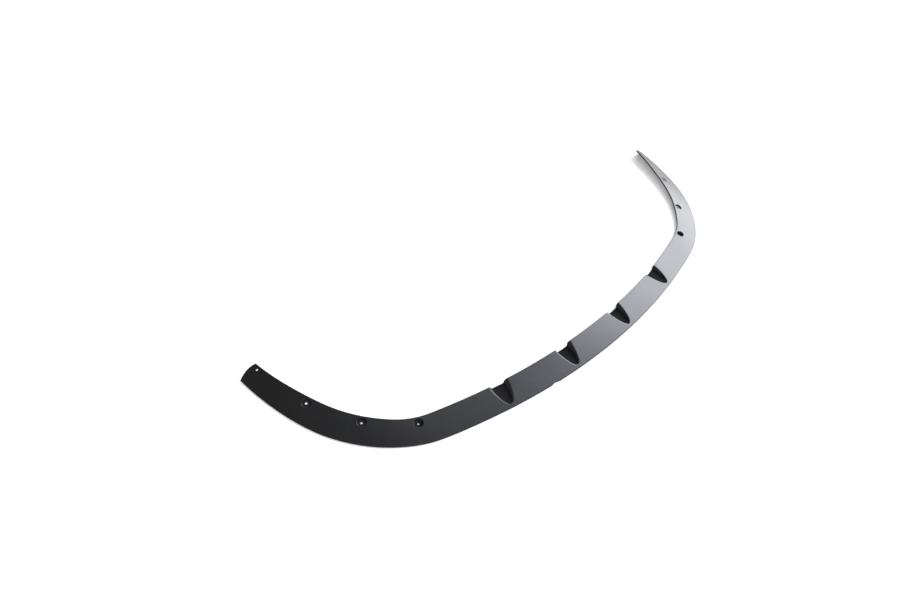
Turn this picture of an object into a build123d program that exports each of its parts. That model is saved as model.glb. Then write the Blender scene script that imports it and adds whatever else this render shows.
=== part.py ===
from build123d import *
import math
import os

# A front splitter lip: one moulded plastic strip, U-shaped in plan.
# Its skin rises from an outer edge that lies on the ground to a raised inner edge.
# Millimetres: X runs across the car, Y points rearward, Z up.

# Plan of the outer edge, one half, as arcs from the front middle to a wing tip
front_radius = 1841.0
front_sweep = 15.4
bend_radius = 237.0
bend_sweep = 11.3
wing_radius = 349.7
wing_sweep = 42.4
tail_radius = 624.0
tail_sweep = 15.6

# Plan width of the skin, at the front middle, bend end, wing end and tip
front_width = 67.0
bend_width = 63.2
wing_width = 57.5
tip_width = 41.8

# Waist that gives the inner edge a corner at each bend, placed from the end of the front arc
waist_depth = 2.4
waist_reach = 106.0
waist_past_front = 76.0

# Height of the inner edge above the ground, at the front middle, bend end, wing end and tip
front_height = 14.8
bend_height = 9.7
wing_height = 18.4
tip_height = 25.6

# Section of the skin
edge_thickness = 3.0
wall = 4.5
crown = 0.7
inner_round = 1.2
ground_land = 5.0

# Convex end of each wing
tip_bulge = 5.0

# Scooped pockets along the front, open at the inner edge
pocket_count = 4
pocket_pitch = 210.5
pocket_nose_inset = 10.2
pocket_nose_rake = 4.5
pocket_half_width = 26.5
pocket_floor_half_width = 15.0
pocket_floor = 2.5
pocket_steepness = 0.45
pocket_wall = 3.5
pocket_wall_drop = 2.0
pocket_floor_setback = 6.0

# Screw holes along each wing, evenly spaced, all but the tip's sunk in round recesses
hole_radius = 2.65
first_hole_past_front = 45.0
tip_hole_from_end = 11.9
hole_inset = 13.8
tip_hole_inset = 8.0
recess_radius = 10.0
recess_depths = (5.6, 3.8, 1.8)
recess_bevel = 0.8
cup_wall = 2.6

# Shallow nick in the front edge
nick_station = -187.0
nick_length = 28.0
nick_depth = 3.2

# How far cutting tools reach past what they cut
overrun = tip_height / 2

# Levels of a pocket's rings as shares of its height, the last one above its rim
pocket_shares = (0.0, 0.15, 0.5, 0.85, 1.0, 1.25)

# Flats that make up the round of the outer nose and of the inner rim
nose_flats = 4
rim_flats = 2

# Sections along each arc of one half
front_spans = 6
bend_spans = 2
wing_spans = 6
tail_spans = 3

arcs = (
    (front_radius, math.radians(front_sweep), front_spans),
    (bend_radius, math.radians(bend_sweep), bend_spans),
    (wing_radius, math.radians(wing_sweep), wing_spans),
    (tail_radius, math.radians(tail_sweep), tail_spans),
)
front_length, bend_length, wing_length, tail_length = [radius * sweep for radius, sweep, _ in arcs]
bend_end = front_length + bend_length
wing_end = bend_end + wing_length
tip_end = wing_end + tail_length
law_stations = (0.0, bend_end, wing_end, tip_end)


# Smooth value along the strip, level at the front middle, through four given values
def along(station, values):
    slopes = [0.0]
    for i in (1, 2):
        slopes.append((values[i + 1] - values[i - 1]) / (law_stations[i + 1] - law_stations[i - 1]))
    slopes.append((values[3] - values[2]) / (law_stations[3] - law_stations[2]))
    i = 0 if station < bend_end else 1 if station < wing_end else 2
    span = law_stations[i + 1] - law_stations[i]
    t = (station - law_stations[i]) / span
    rise = values[i] * (1 + 2 * t) * (1 - t) ** 2 + values[i + 1] * t * t * (3 - 2 * t)
    return rise + span * t * (1 - t) * (slopes[i] * (1 - t) - slopes[i + 1] * t)


def skin_width(station):
    full = along(abs(station), (front_width, bend_width, wing_width, tip_width))
    away = abs(abs(station) - front_length - waist_past_front) / waist_reach
    return full - waist_depth * max(0.0, 1 - away) ** 2


def inner_height(station):
    return along(abs(station), (front_height, bend_height, wing_height, tip_height))


# Point and heading of the outer edge at a distance along it from the front middle
def outer_edge(station):
    side = -1.0 if station < 0 else 1.0
    left = abs(station)
    heading = 0.0
    x = 0.0
    y = 0.0
    for i, (radius, sweep, _) in enumerate(arcs):
        last = i == len(arcs) - 1
        run = left if last else min(left, radius * sweep)
        turned = heading + run / radius
        x += radius * (math.sin(turned) - math.sin(heading))
        y += radius * (math.cos(heading) - math.cos(turned))
        heading = turned
        left -= run
        if left <= 0:
            break
    return side * x, y, side * heading


# Upright plane across the strip: local x points inward from the outer edge, local y up
def section_plane(station):
    x, y, heading = outer_edge(station)
    inward = (-math.sin(heading), math.cos(heading), 0)
    onward = (math.cos(heading), math.sin(heading), 0)
    return Plane(origin=(x, y, 0), x_dir=inward, z_dir=onward)


# Arc that stands a given height above the chord of two points, and runs on past both of them
def crowned(start, end, height, past=0.0):
    chord = Vector(*end) - Vector(*start)
    along_chord = chord.normalized()
    square = along_chord.rotate(Axis.Z, 90)
    radius = chord.length ** 2 / (8 * height) + height / 2
    half_turn = math.asin(chord.length / (2 * radius)) + past / radius
    top = Vector(*start) + chord / 2 + square * height
    centre = top - square * radius
    level = centre + square * (radius * math.cos(half_turn))
    sideways = along_chord * (radius * math.sin(half_turn))
    return ThreePointArc(level - sideways, top, level + sideways)


# Points of a small round edge, turned in flats from one angle to another
def rounded(centre_x, centre_y, radius, start, end, flats):
    turns = [start + (end - start) * i / flats for i in range(flats + 1)]
    return [(centre_x + radius * math.cos(turn), centre_y + radius * math.sin(turn)) for turn in turns]


# Full section down to the ground, with a round outer nose and an inner end that leans forward
def block_section(station):
    width = skin_width(station)
    height = inner_height(station)
    nose = edge_thickness / 2
    chord = math.atan2(height - edge_thickness, width)
    bow = 2 * math.atan2(2 * crown, width)
    nose_end = chord + bow - 3 * math.pi / 2
    rim_start = chord - bow + math.pi / 2
    nose_points = rounded(nose, nose, nose, -math.pi / 2, nose_end, nose_flats)
    rim_points = rounded(width - inner_round, height - inner_round, inner_round, rim_start, 0.0, rim_flats)
    face_foot = (width, height - wall - pocket_wall_drop)
    heel = (width - pocket_floor_setback, 0)
    outline = Curve() + [
        Polyline(*nose_points),
        crowned(nose_points[-1], rim_points[0], crown),
        Polyline(*rim_points, face_foot, heel, nose_points[0]),
    ]
    return section_plane(station) * make_face(outline)


# Section of the hollow under the skin
def hollow_section(station):
    knee = (ground_land, 0)
    lip = (skin_width(station), inner_height(station) - wall)
    underside = crowned(knee, lip, crown, overrun)
    start = underside @ 0
    end = underside @ 1
    edges = [
        underside,
        Line(end, (end.X, -2 * overrun)),
        Line((end.X, -2 * overrun), (start.X, -2 * overrun)),
        Line((start.X, -2 * overrun), start),
    ]
    return section_plane(station) * make_face(edges)


# Stations of the sections, from one wing to the other, past both tips
def stations():
    half = [0.0]
    for radius, sweep, spans in arcs:
        start = half[-1]
        half += [start + radius * sweep * (i + 1) / spans for i in range(spans)]
    half.append(tip_end + tip_bulge + overrun)
    return [-s for s in reversed(half[1:])] + half


# Half width of a pocket at a share of its height, S-shaped from floor to rim
def pocket_width(share):
    swing = 2 * share - 1
    middle = (pocket_half_width + pocket_floor_half_width) / 2
    spread = (pocket_half_width - pocket_floor_half_width) / 2
    return middle + spread * swing * (pocket_steepness + (1 - pocket_steepness) * swing * swing)


# Half-elliptic scoop, lofted through level ellipses centred on the inner edge
def pocket_solid(station, wall_out, below):
    width = skin_width(station)
    rim = inner_height(station)
    frame = section_plane(station)
    centre = frame.origin + frame.x_dir * width
    levels = [(pocket_floor + share * (rim - pocket_floor), share) for share in pocket_shares]
    if below:
        levels = [(pocket_floor - below, 0.0)] + levels
    rings = []
    for z, share in levels:
        reach = width - pocket_nose_inset + pocket_nose_rake * share + wall_out
        ring = Ellipse(reach, pocket_width(share) + wall_out)
        rings.append(Plane(origin=centre + Vector(0, 0, z), x_dir=frame.x_dir, z_dir=(0, 0, 1)) * ring)
    return loft(rings)


def pocket_stations():
    first = -(pocket_count - 1) / 2
    return [(first + i) * pocket_pitch for i in range(pocket_count)]


# Station, inset from the inner edge and recess depth of each screw hole of one half
def wing_holes():
    first = front_length + first_hole_past_front
    last = tip_end - tip_hole_from_end
    pitch = (last - first) / len(recess_depths)
    holes = [(first + i * pitch, hole_inset, depth) for i, depth in enumerate(recess_depths)]
    return holes + [(last, tip_hole_inset, 0.0)]


def hole_point(station, inset):
    frame = section_plane(station)
    return frame.origin + frame.x_dir * (skin_width(station) - inset)


# Place on the top of the skin straight above a point, with the direction square to it
def on_skin(block, point):
    hits = block.find_intersection_points(Axis(point - Vector(0, 0, overrun), (0, 0, 1)))
    return max(hits, key=lambda hit: hit[0].Z)


# Round recess cutter standing on its seat, with a bevelled mouth
def recess_cutter(depth):
    mouth = (recess_radius + recess_bevel + overrun, depth + overrun)
    outline = Polyline(
        (0, 0),
        (recess_radius, 0),
        (recess_radius, depth - recess_bevel),
        mouth,
        (0, mouth[1]),
        close=True,
    )
    return revolve(Plane.XZ * make_face(outline), Axis.Z)


# Region outside the convex end of a wing
def tip_trim(side):
    frame = section_plane(side * tip_end)
    radius = tip_width ** 2 / (8 * tip_bulge) + tip_bulge / 2
    beyond = frame.z_dir * side
    chord_middle = frame.origin + frame.x_dir * (tip_width / 2)
    centre = chord_middle + beyond * (tip_bulge - radius)
    end_frame = Plane(origin=centre, x_dir=beyond, z_dir=(0, 0, 1))
    depth = tip_bulge + overrun
    slab = Pos(radius - tip_bulge, 0, 0) * Rectangle(2 * depth, tip_width + 2 * overrun)
    return extrude(end_frame * (slab - Circle(radius)), amount=tip_height + overrun, both=True)


# Shallow V across the front edge
def nick_tool():
    frame = section_plane(nick_station)
    x_dir = frame.z_dir
    plan = Plane(origin=frame.origin - Vector(0, 0, overrun), x_dir=x_dir, z_dir=(0, 0, 1))
    half = nick_length / 2
    outline = [
        Line((-half, 0), (0, nick_depth)),
        Line((0, nick_depth), (half, 0)),
        Line((half, 0), (half, -overrun)),
        Line((half, -overrun), (-half, -overrun)),
        Line((-half, -overrun), (-half, 0)),
    ]
    return extrude(plan * make_face(outline), amount=3 * overrun)


def splitter_lip():
    standing = (Align.CENTER, Align.CENTER, Align.MIN)
    places = stations()
    block = loft([block_section(s) for s in places])
    hollow = loft([hollow_section(s) for s in places])
    for s in pocket_stations():
        hollow -= pocket_solid(s, pocket_wall, overrun)
    cuts = []
    for station, inset, depth in wing_holes():
        for side in (-1, 1):
            point = hole_point(side * station, inset)
            top, square = on_skin(block, point)
            if depth:
                seat = Plane(origin=top - square * depth, z_dir=square)
                cuts.append(seat * recess_cutter(depth))
                cup_height = cup_wall + depth
                if cup_height > wall:
                    cup = Cylinder(recess_radius + cup_wall, cup_height + overrun, align=standing)
                    hollow -= seat * Pos(0, 0, -cup_wall) * cup
            cuts.append(Pos(point) * Cylinder(hole_radius, 2 * (tip_height + overrun)))
    lip = block - hollow
    for s in pocket_stations():
        lip -= pocket_solid(s, 0.0, 0.0)
    for cut in cuts:
        lip -= cut
    for side in (-1, 1):
        lip -= tip_trim(side)
    lip -= nick_tool()
    return lip


part = splitter_lip()
box = part.bounding_box()
part = Pos(0, -(box.min.Y + box.max.Y) / 2, 0) * part
os.makedirs("parts", exist_ok=True)
export_step(part, "parts/splitter_lip.step")
print("solids", len(part.solids()), "volume", round(part.volume), "size", part.bounding_box().size)
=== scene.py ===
import math

import bpy
import numpy as np
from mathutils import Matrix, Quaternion, Vector


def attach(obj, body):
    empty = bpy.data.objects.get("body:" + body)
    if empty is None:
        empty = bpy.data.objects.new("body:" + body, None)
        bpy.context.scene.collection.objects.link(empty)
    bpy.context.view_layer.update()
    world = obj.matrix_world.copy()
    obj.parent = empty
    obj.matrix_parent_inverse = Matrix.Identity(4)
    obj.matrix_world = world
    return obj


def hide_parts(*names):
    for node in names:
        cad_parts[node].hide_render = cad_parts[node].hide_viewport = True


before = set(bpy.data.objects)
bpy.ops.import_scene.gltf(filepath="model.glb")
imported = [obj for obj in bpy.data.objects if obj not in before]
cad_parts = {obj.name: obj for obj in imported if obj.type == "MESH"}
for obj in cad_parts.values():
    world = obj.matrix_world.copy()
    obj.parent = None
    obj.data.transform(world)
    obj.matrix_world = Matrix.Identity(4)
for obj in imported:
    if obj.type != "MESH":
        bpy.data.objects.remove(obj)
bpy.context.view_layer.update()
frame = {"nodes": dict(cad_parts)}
scene = bpy.context.scene
print("frame loaded:", ", ".join(frame["nodes"]))


# A shader socket that takes part in Python sums: every operator adds one Math node
class Wire:
    def __init__(self, tree, socket):
        self.tree = tree
        self.socket = socket

    def math(self, operation, left, right=0.0):
        node = self.tree.nodes.new("ShaderNodeMath")
        node.operation = operation
        for slot, value in zip(node.inputs, (left, right)):
            connect(self.tree, slot, value)
        return Wire(self.tree, node.outputs[0])

    def __add__(self, other):
        return self.math("ADD", self, other)

    def __radd__(self, other):
        return self.math("ADD", other, self)

    def __sub__(self, other):
        return self.math("SUBTRACT", self, other)

    def __rsub__(self, other):
        return self.math("SUBTRACT", other, self)

    def __mul__(self, other):
        return self.math("MULTIPLY", self, other)

    def __rmul__(self, other):
        return self.math("MULTIPLY", other, self)

    def __truediv__(self, other):
        return self.math("DIVIDE", self, other)

    def __rtruediv__(self, other):
        return self.math("DIVIDE", other, self)


def connect(tree, slot, value):
    if isinstance(value, Wire):
        tree.links.new(value.socket, slot)
    else:
        slot.default_value = value


# A node tree with one method that makes any node: its type, its settings, then its sockets
class NodeSheet:
    def __init__(self, owner):
        owner.use_nodes = True
        self.tree = owner.node_tree
        self.tree.nodes.clear()

    def make(self, kind, settings=None, sockets=None, output=0):
        node = self.tree.nodes.new(kind)
        for name, value in (settings or {}).items():
            if name == "stops":
                self.setStops(node.color_ramp.elements, value)
            else:
                setattr(node, name, value)
        for name, value in (sockets or {}).items():
            connect(self.tree, node.inputs[name], value)
        return Wire(self.tree, node.outputs[output]) if len(node.outputs) else None

    def axes(self, place):
        x = self.make("ShaderNodeSeparateXYZ", sockets={"Vector": place})
        return [Wire(self.tree, socket) for socket in x.socket.node.outputs]

    def setStops(self, elements, stops):
        while len(elements) < len(stops):
            elements.new(1.0)
        for element, (place, colour) in zip(elements, stops):
            element.position = place
            element.color = colour


# Where the pockets of the front and the deepest recesses lie, in metres, for the painted shade and rougher
# finish of their insides
pockets = {
    "frontRadius": 1.841,
    "frontCentre": 1.6197,  # y of the middle of the front arc
    "pitch": 0.2105,
    "lastStation": 0.421,
    "width": (0.06745, 0.00602),  # of the skin: at the middle, and its loss along the front
    "rim": (0.01569, 0.01397),  # height of the inner edge, in the same way
    "floor": 0.0025,
    "halfWidth": 0.0265,
    "floorHalfWidth": 0.015,
    "steepness": 0.45,  # of the S-shaped walls at half their height
    "noseInset": 0.0102,
    "noseRake": 0.0045,
    "shadeAndDullShares": (0.55, 1.1),  # of a pocket's height: painted shade and a dull finish below the first, plain satin above the second
    "shadeAndDullDistances": (0.0003, 0.001),  # outside its wall, in the same way
    "recess": (0.509533, -0.095981),  # the deepest screw recess, and its twin across the middle
    "recessRadius": 0.0101,
}


def hypotenuse(a, b):
    return a.math("SQRT", a * a + b * b)


# Measures at the shaded point: share of a pocket's height, distance outside the pocket, and one along the front
def pocketField(x, y, z):
    radius = pockets["frontRadius"]
    back = pockets["frontCentre"] - y
    station = x.math("ARCTAN2", x, back) * radius
    reachOut = hypotenuse(x, back)
    away = x.math("ABSOLUTE", station)
    width = pockets["width"][0] - away * pockets["width"][1]
    rim = pockets["rim"][0] - away * pockets["rim"][1]
    rise = (z - pockets["floor"]) / (rim - pockets["floor"])
    share = x.math("MINIMUM", x.math("MAXIMUM", rise, 0.0), 1.0)
    swing = share * 2.0 - 1.0
    middle = (pockets["halfWidth"] + pockets["floorHalfWidth"]) / 2
    spread = (pockets["halfWidth"] - pockets["floorHalfWidth"]) / 2
    bend = swing * (pockets["steepness"] + swing * swing * (1 - pockets["steepness"]))
    halfWidth = middle + bend * spread
    length = width - pockets["noseInset"] + share * pockets["noseRake"]
    turn = (x.math("FRACT", station / pockets["pitch"]) - 0.5) * pockets["pitch"]
    across = turn * reachOut / radius / halfWidth
    inward = (width - radius + reachOut) / length
    ring = hypotenuse(across, inward)
    distance = (ring - 1.0) * ring / hypotenuse(across / halfWidth, inward / length)
    near = x.math("LESS_THAN", away, pockets["lastStation"])
    return share, distance, near


# One inside a pocket, nought on the skin, fading up its walls: where painted shade and a dull finish go
def insidePocket(sheet, share, distance, near):
    def falling(value, limits):
        sockets = {"Value": value, "From Min": limits[0], "From Max": limits[1], "To Min": 1.0, "To Max": 0.0}
        return sheet.make("ShaderNodeMapRange", {"interpolation_type": "SMOOTHSTEP"}, sockets)

    return falling(share, pockets["shadeAndDullShares"]) * falling(distance, pockets["shadeAndDullDistances"]) * near


# One inside the two deepest screw recesses, where painted shade goes
def insideRecess(x, y):
    across = x.math("ABSOLUTE", x) - pockets["recess"][0]
    return x.math("LESS_THAN", hypotenuse(across, y - pockets["recess"][1]), pockets["recessRadius"])


# Satin black moulded plastic, with painted shade and a rougher finish inside the pockets and the deepest
# recesses
plastic = {
    "tones": [(0.35, (0.009, 0.009, 0.0093, 1.0)), (0.65, (0.012, 0.012, 0.0124, 1.0))],
    "roughness": 0.36,
    "roughnessSwing": 0.14,  # how much the sheen changes it
    "sheenMiddle": 0.5,
    "clouds": {"Scale": 9.0, "Detail": 3.0},  # per metre: broad changes of sheen
    "specks": {"Scale": 160.0, "Detail": 2.0},  # small changes of sheen
    "grain": {"Scale": 900.0, "Detail": 4.0},  # moulded grain
    "grainDepth": 0.00006,  # metres
    "grainStrength": 0.35,
    "edgeRound": 0.0008,  # metres: softened edges
    "edgeSamples": 6,
    # Painted shade and light in the pockets and recesses: darkest at the floor, lighter up the walls, with
    # little reflection
    "pocketShadeTones": [
        (0.05, (0.0108, 0.011, 0.012, 1.0)),  # floor
        (0.3, (0.041, 0.042, 0.046, 1.0)),  # wall
    ],
    "pocketRoughness": 0.62,
    "pocketSpecular": 0.02,
}


def satinBlackPlastic():
    material = bpy.data.materials.new("satinBlackPlastic")
    sheet = NodeSheet(material)
    place = sheet.make("ShaderNodeTexCoord", output="Object")
    x, y, z = sheet.axes(place)
    clouds, specks, grain = (
        sheet.make("ShaderNodeTexNoise", sockets={"Vector": place, **plastic[name]})
        for name in ("clouds", "specks", "grain")
    )
    sheen = (clouds + specks) / 2.0
    tone = sheet.make("ShaderNodeValToRGB", {"stops": plastic["tones"]}, {"Fac": sheen})
    edge = {"Radius": plastic["edgeRound"]}
    softEdge = sheet.make("ShaderNodeBevel", {"samples": plastic["edgeSamples"]}, edge)
    normal = sheet.make("ShaderNodeBump", sockets={
        "Height": grain,
        "Distance": plastic["grainDepth"],
        "Strength": plastic["grainStrength"],
        "Normal": softEdge,
    })
    satin = sheet.make("ShaderNodeBsdfPrincipled", sockets={
        "Base Color": tone,
        "Roughness": plastic["roughness"] + (sheen - plastic["sheenMiddle"]) * plastic["roughnessSwing"],
        "Normal": normal,
    })
    share, distance, near = pocketField(x, y, z)
    pocketShadeTone = sheet.make("ShaderNodeValToRGB", {"stops": plastic["pocketShadeTones"]}, {"Fac": share})
    shadedDull = sheet.make("ShaderNodeBsdfPrincipled", sockets={
        "Base Color": pocketShadeTone,
        "Roughness": plastic["pocketRoughness"],
        "Specular IOR Level": plastic["pocketSpecular"],
        "Normal": normal,
    })
    # Painted shade: the pockets and the deepest recesses take the darker, duller copy of the plastic
    paintedShadeMix = x.math("MAXIMUM", insidePocket(sheet, share, distance, near), insideRecess(x, y))
    surface = sheet.make("ShaderNodeMixShader", sockets={0: paintedShadeMix, 1: satin, 2: shadedDull})
    sheet.make("ShaderNodeOutputMaterial", sockets={"Surface": surface})
    return material


# The lip: the solid's own form, welded into one closed mesh with soft edges and rounded pocket shoulders
lip = {
    "node": "splitter_lip",
    "slot": "satin_black_plastic",
    "weldStep": 2e-6,  # metres: corners closer than this are one point
    "softAngle": 50.0,  # degrees: edges flatter than this shade as one surface
    "normalStep": 1e-3,  # normals closer than this are one
    "pocketReach": 0.34,  # metres: every pocket lies this close to the middle
    "pocketRise": 0.006,  # metres: every pocket wall is higher than this
    "shoulderOut": 0.0034,  # metres: the round of a shoulder, over the skin
    "shoulderDown": 0.0016,  # metres: and down the wall
    "shoulderRoom": 1.4,  # times the round: the skin's next points keep this far from the rim
    "shoulderKeeps": 0.3,  # share of its area that a triangle beside the round keeps at least
    "shoulderEase": 0.9,  # one shortening of a move that would leave less
    "shoulderSteps": 5,
}


def readArray(items, name, width, kind=np.float32):
    values = np.empty(len(items) * width, kind)
    items.foreach_get(name, values)
    return values.reshape(-1, width)


def unit(vectors):
    return vectors / np.linalg.norm(vectors, axis=-1, keepdims=True)


# At a shared corner the larger surface sets the normal, so small flats shade round
def softNormals(corners, cornerNormals, weights):
    limit = math.cos(math.radians(lip["softAngle"]))
    order = np.argsort(corners, kind="stable")
    starts = np.flatnonzero(np.diff(corners[order], prepend=-1))
    soft = np.empty_like(cornerNormals)
    for group in np.split(order, starts[1:]):
        normals = cornerNormals[group]
        alike = (normals @ normals.T) > limit
        soft[group] = (alike * weights[group]) @ normals
    return unit(soft)


# Number of the smooth surface that each triangle belongs to
def surfaceNumbers(points, corners, normals):
    keys = np.hstack([points[corners] / lip["weldStep"], normals / lip["normalStep"]])
    _, shared = np.unique(np.round(keys).astype(np.int64), axis=0, return_inverse=True)
    faces = shared.reshape(-1, 3)
    labels = np.arange(faces.max() + 1)
    settled = False
    while not settled:
        lowest = labels.copy()
        np.minimum.at(lowest, faces, labels[faces].min(axis=1, keepdims=True))
        settled = bool((lowest == labels).all())
        labels = lowest
    return labels[faces[:, 0]]


# Each triangle's normal, as long as twice its area
def faceVectors(points, faces):
    a, b, c = points[faces].transpose(1, 0, 2)
    return np.cross(b - a, c - a)


def triangleAreas(points, faces):
    return np.linalg.norm(faceVectors(points, faces), axis=1) / 2


# Edges as sorted pairs of points, each with the triangles on its two sides
def edgeTable(faces):
    edges = {}
    for face, corners in enumerate(faces.tolist()):
        for a, b in zip(corners, corners[1:] + corners[:1]):
            edges.setdefault((min(a, b), max(a, b)), []).append(face)
    return edges


def chainOf(rim):
    links = {}
    for a, b in rim:
        links.setdefault(a, []).append(b)
        links.setdefault(b, []).append(a)
    chain = [next(point for point in links if len(links[point]) == 1)]
    while len(chain) <= len(rim):
        chain.append(next(point for point in links[chain[-1]] if point not in chain[-2:]))
    return chain


# A welded mesh whose pocket rims are cut back and filled with a round from skin to wall
class ShoulderedMesh:
    def __init__(self, points, faces, normals, owners):
        self.points = points
        self.faces = faces
        self.normals = normals
        self.owners = owners
        self.edges = edgeTable(faces)
        upward = np.bincount(owners, normals.mean(axis=1)[:, 2] * triangleAreas(points, faces))
        self.skin = int(upward.argmax())

    def roundPockets(self):
        rims = {}
        for edge, pair in self.edges.items():
            sides = {int(self.owners[face]) for face in pair}
            if self.skin in sides and len(sides) == 2:
                rims.setdefault((sides - {self.skin}).pop(), []).append(edge)
        rounded = 0
        for wall, rim in rims.items():
            corners = self.points[self.faces[self.owners == wall]].reshape(-1, 3)
            if abs(corners[:, 0]).max() < lip["pocketReach"] and np.ptp(corners[:, 2]) > lip["pocketRise"]:
                self.roundRim(wall, chainOf(rim))
                rounded += 1
        return rounded

    def normalAt(self, point, surface):
        rows, places = np.nonzero((self.faces == point) & (self.owners == surface)[:, None])
        return unit(self.normals[rows, places].sum(axis=0))

    # Next point from a mouth corner along a surface's border with the inner rim, and that rim's number
    def mouthEdge(self, corner, surface, across):
        for edge, pair in self.edges.items():
            if corner in edge:
                sides = {int(self.owners[face]) for face in pair}
                if surface in sides and across not in sides and len(sides) == 2:
                    return (set(edge) - {corner}).pop(), (sides - {surface}).pop()

    # Points of the skin that are too near a rim give way to its round
    def clearSkin(self, chain):
        room = lip["shoulderOut"] * lip["shoulderRoom"]
        a, b = self.points[chain[:-1]], self.points[chain[1:]]  # ends of the rim's edges
        for point in np.setdiff1d(self.faces[self.owners == self.skin], chain):
            spot = self.points[point]
            shares = ((spot - a) * (b - a)).sum(axis=1) / ((b - a) ** 2).sum(axis=1)
            nearest = a + (b - a) * np.clip(shares, 0.0, 1.0)[:, None]
            gaps = np.linalg.norm(spot - nearest, axis=1)
            foot = nearest[gaps.argmin()]
            if gaps.min() < room:
                self.points[point] = foot + unit(spot - foot) * room

    # Moves of a rim's points, shortened where a triangle would shrink too far or turn over
    def safeMoves(self, surface, chain, moves):
        rows = {point: row for row, point in enumerate(chain)}
        touched = self.faces[(self.owners == surface) & np.isin(self.faces, chain).any(axis=1)]
        before = faceVectors(self.points, touched)
        trial = self.points.copy()
        crushed = touched
        while len(crushed):
            trial[chain] = self.points[chain] + moves
            left = (faceVectors(trial, touched) * before).sum(axis=1) / (before ** 2).sum(axis=1)
            crushed = touched[left < lip["shoulderKeeps"]]
            for point in np.intersect1d(crushed, chain):
                moves[rows[point]] *= lip["shoulderEase"]
        return moves

    # Each rim point moves out over the skin and down the wall, and a curve joins the two places
    def roundRim(self, wall, chain):
        places = self.points[chain]
        skinNormals = np.array([self.normalAt(point, self.skin) for point in chain])
        wallNormals = np.array([self.normalAt(point, wall) for point in chain])
        onward = unit(np.cross(skinNormals, wallNormals))
        outs = np.cross(onward, skinNormals)
        outs *= -np.sign((outs * wallNormals).sum(axis=1, keepdims=True))
        downs = np.cross(onward, wallNormals)
        downs *= -np.sign((downs * skinNormals).sum(axis=1, keepdims=True))
        fans = []
        for row in (0, -1):
            along, _ = self.mouthEdge(chain[row], self.skin, wall)
            below, inner = self.mouthEdge(chain[row], wall, self.skin)
            outs[row] = unit(self.points[along] - places[row])
            downs[row] = unit(self.points[below] - places[row])
            fans.append((row, below, inner, self.normalAt(below, inner)))
        self.clearSkin(chain)
        starts = self.safeMoves(self.skin, chain, outs * lip["shoulderOut"])[:, None]
        ends = self.safeMoves(wall, chain, downs * lip["shoulderDown"])[:, None]
        turns = np.linspace(0.0, 1.0, lip["shoulderSteps"] + 1)[None, :, None]
        rings = places[:, None] + (1.0 - turns) ** 2 * starts + turns ** 2 * ends
        slopes = np.cross(onward[:, None], turns * ends - (1.0 - turns) * starts)
        slopes *= np.sign((slopes * (skinNormals + wallNormals)[:, None]).sum(axis=2, keepdims=True))
        self.addRings(wall, chain, rings, unit(slopes), fans)

    # The skin keeps the old points, moved outwards; the wall gets the last point of each ring
    def addRings(self, wall, chain, rings, ringNormals, fans):
        steps = lip["shoulderSteps"]
        ids = len(self.points) + np.arange(len(chain) * steps).reshape(-1, steps)
        ids = np.hstack([np.array(chain)[:, None], ids])
        onWall = self.owners == wall
        wallFaces = self.faces[onWall]
        for row in ids:
            wallFaces[wallFaces == row[0]] = row[-1]
        self.faces[onWall] = wallFaces
        self.points[chain] = rings[:, 0]
        self.points = np.vstack([self.points, rings[:, 1:].reshape(-1, 3)])
        a, b, c, d = ids[:-1, :-1], ids[1:, :-1], ids[1:, 1:], ids[:-1, 1:]
        strip = np.stack([np.stack([a, b, c], -1), np.stack([a, c, d], -1)]).reshape(-1, 3)
        lookup = np.zeros_like(self.points)
        lookup[ids] = ringNormals
        self.addFaces(strip, lookup[strip], self.owners.max() + 1)
        for row, below, inner, normal in fans:
            fan = np.array([(below, ids[row, k], ids[row, k + 1]) for k in range(steps)])
            self.addFaces(fan, np.broadcast_to(normal, (steps, 3, 3)), inner)

    def addFaces(self, faces, normals, owner):
        facing = (faceVectors(self.points, faces) * normals.mean(axis=1)).sum()
        self.faces = np.vstack([self.faces, faces if facing > 0 else faces[:, ::-1]])
        self.normals = np.vstack([self.normals, normals if facing > 0 else normals[:, ::-1]])
        self.owners = np.append(self.owners, np.full(len(faces), owner))


def weldedLip():
    source = frame["nodes"][lip["node"]].data
    points = readArray(source.vertices, "co", 3)
    corners = readArray(source.loops, "vertex_index", 1, np.int32).ravel()
    normals = readArray(source.corner_normals, "vector", 3)
    cells = np.round(points / lip["weldStep"]).astype(np.int64)
    _, first, merged = np.unique(cells, axis=0, return_index=True, return_inverse=True)
    faces = merged.reshape(-1)[corners].reshape(-1, 3)
    kept = (faces[:, 0] != faces[:, 1]) & (faces[:, 1] != faces[:, 2]) & (faces[:, 2] != faces[:, 0])
    owners = surfaceNumbers(points, corners, normals)[kept]
    form = ShoulderedMesh(points[first], faces[kept], normals.reshape(-1, 3, 3)[kept], owners)
    print("lip:", form.roundPockets(), "pockets rounded")
    mesh = bpy.data.meshes.new("splitterLip")
    mesh.from_pydata(form.points.tolist(), [], form.faces.tolist())
    mesh.shade_smooth()
    sizes = np.bincount(form.owners, triangleAreas(form.points, form.faces))[form.owners]
    soft = softNormals(form.faces.ravel(), form.normals.reshape(-1, 3), np.repeat(sizes, 3))
    mesh.normals_split_custom_set(soft.tolist())
    piece = bpy.data.objects.new("splitterLip", mesh)
    scene.collection.objects.link(piece)
    return piece


splitterLip = weldedLip()
splitterLip.data.materials.append(satinBlackPlastic())
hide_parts(lip["node"])
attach(splitterLip, "root")
print("lip:", len(splitterLip.data.polygons), "triangles")


# Pale floor, lifted a little towards white where the camera sees it
floor = {
    "halfSize": 20.0,
    "colour": (0.85, 0.85, 0.85, 1.0),
    "roughness": 0.9,
    "lift": 0.3,  # glow towards white
}


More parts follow.
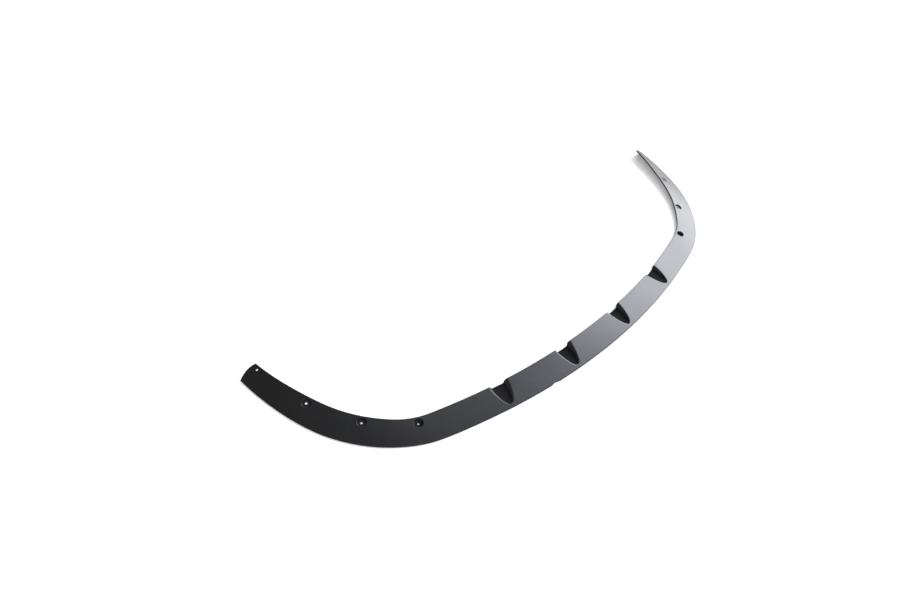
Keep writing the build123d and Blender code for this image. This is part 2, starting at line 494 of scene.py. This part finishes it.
def paleFloor():
    reach = floor["halfSize"]
    corners = [(-reach, -reach, 0), (reach, -reach, 0), (reach, reach, 0), (-reach, reach, 0)]
    mesh = bpy.data.meshes.new("paleFloor")
    mesh.from_pydata(corners, [], [(0, 1, 2, 3)])
    material = bpy.data.materials.new("paleFloor")
    sheet = NodeSheet(material)
    paper = {"Base Color": floor["colour"], "Roughness": floor["roughness"]}
    plain = sheet.make("ShaderNodeBsdfPrincipled", sockets=paper)
    glow = {"Emission Color": (1.0, 1.0, 1.0, 1.0), "Emission Strength": floor["lift"]}
    lifted = sheet.make("ShaderNodeBsdfPrincipled", sockets={**paper, **glow})
    seen = sheet.make("ShaderNodeLightPath", output="Is Camera Ray")
    surface = sheet.make("ShaderNodeMixShader", sockets={0: seen, 1: plain, 2: lifted})
    sheet.make("ShaderNodeOutputMaterial", sockets={"Surface": surface})
    mesh.materials.append(material)
    piece = bpy.data.objects.new("paleFloor", mesh)
    scene.collection.objects.link(piece)


paleFloor()


# Large soft lights far off: one on the right with three neighbours, one behind the camera and one on the left
studio = {
    "tints": {"daylight": (0.965, 0.97, 1.0), "blue": (0.42, 0.58, 1.0), "white": (1.0, 1.0, 1.0)},
    "lamps": {
        "key": {"azimuth": -2.0, "elevation": 32.0, "spread": 34.0, "strength": 3.35, "tint": "daylight"},
        "side": {"azimuth": 34.0, "elevation": 30.0, "spread": 40.0, "strength": 1.6, "tint": "daylight"},
        "low": {"azimuth": 12.0, "elevation": 3.0, "spread": 24.0, "strength": 0.4, "tint": "daylight"},
        "cool": {"azimuth": 0.0, "elevation": 46.5, "spread": 14.0, "strength": 0.22, "tint": "blue"},
        "fill": {"azimuth": 255.0, "elevation": 42.0, "spread": 66.0, "strength": 1.3, "tint": "white"},
        "left": {"azimuth": 175.0, "elevation": 28.0, "spread": 40.0, "strength": 0.165, "tint": "white"},
    },
    "distance": 5.0,
    "dim": (0.12, 0.12, 0.126, 1.0),
    "backdrop": (1.0, 1.0, 1.0, 1.0),
}


def aim(thing, target, roll=0.0):
    look = (Vector(target) - thing.location).to_track_quat("-Z", "Y")
    thing.rotation_mode = "QUATERNION"
    thing.rotation_quaternion = look @ Quaternion((0, 0, 1), math.radians(roll))


def farLight(name, settings):
    lamp = bpy.data.lights.new(name, "SUN")
    lamp.angle = math.radians(settings["spread"])
    lamp.energy = settings["strength"]
    lamp.color = studio["tints"][settings["tint"]]
    holder = bpy.data.objects.new(name, lamp)
    scene.collection.objects.link(holder)
    turn = math.radians(settings["azimuth"])
    lift = math.radians(settings["elevation"])
    way = Vector((math.cos(turn) * math.cos(lift), math.sin(turn) * math.cos(lift), math.sin(lift)))
    holder.location = way * studio["distance"]
    aim(holder, (0, 0, 0))


# A dim room, white only where the camera itself looks past the floor
def dimRoom():
    world = bpy.data.worlds.new("dimRoom")
    scene.world = world
    sheet = NodeSheet(world)
    seen = sheet.make("ShaderNodeLightPath", output="Is Camera Ray")
    room = sheet.make("ShaderNodeBackground", sockets={"Color": studio["dim"]})
    backdrop = sheet.make("ShaderNodeBackground", sockets={"Color": studio["backdrop"]})
    both = sheet.make("ShaderNodeMixShader", sockets={0: seen, 1: room, 2: backdrop})
    sheet.make("ShaderNodeOutputWorld", sockets={"Surface": both})


for name, settings in studio["lamps"].items():
    farLight(name, settings)
dimRoom()
scene.view_settings.view_transform = "Standard"
print("floor and lights set")


# Camera at the photograph's viewpoint
view = {
    "place": (-1.06042, -0.52081, 1.21804),
    "target": (-0.21356, 0.08908, 0.0),
    "roll": 14.538,  # degrees
    "focalPixels": 650.0,
    "imageWidth": 920.0,
    "sensor": 36.0,  # millimetres
}


def photoCamera():
    lens = bpy.data.cameras.new("photoCamera")
    lens.sensor_width = view["sensor"]
    lens.lens = view["focalPixels"] * view["sensor"] / view["imageWidth"]
    holder = bpy.data.objects.new("photoCamera", lens)
    scene.collection.objects.link(holder)
    holder.location = view["place"]
    aim(holder, view["target"], view["roll"])
    scene.camera = holder


photoCamera()
print("camera set")
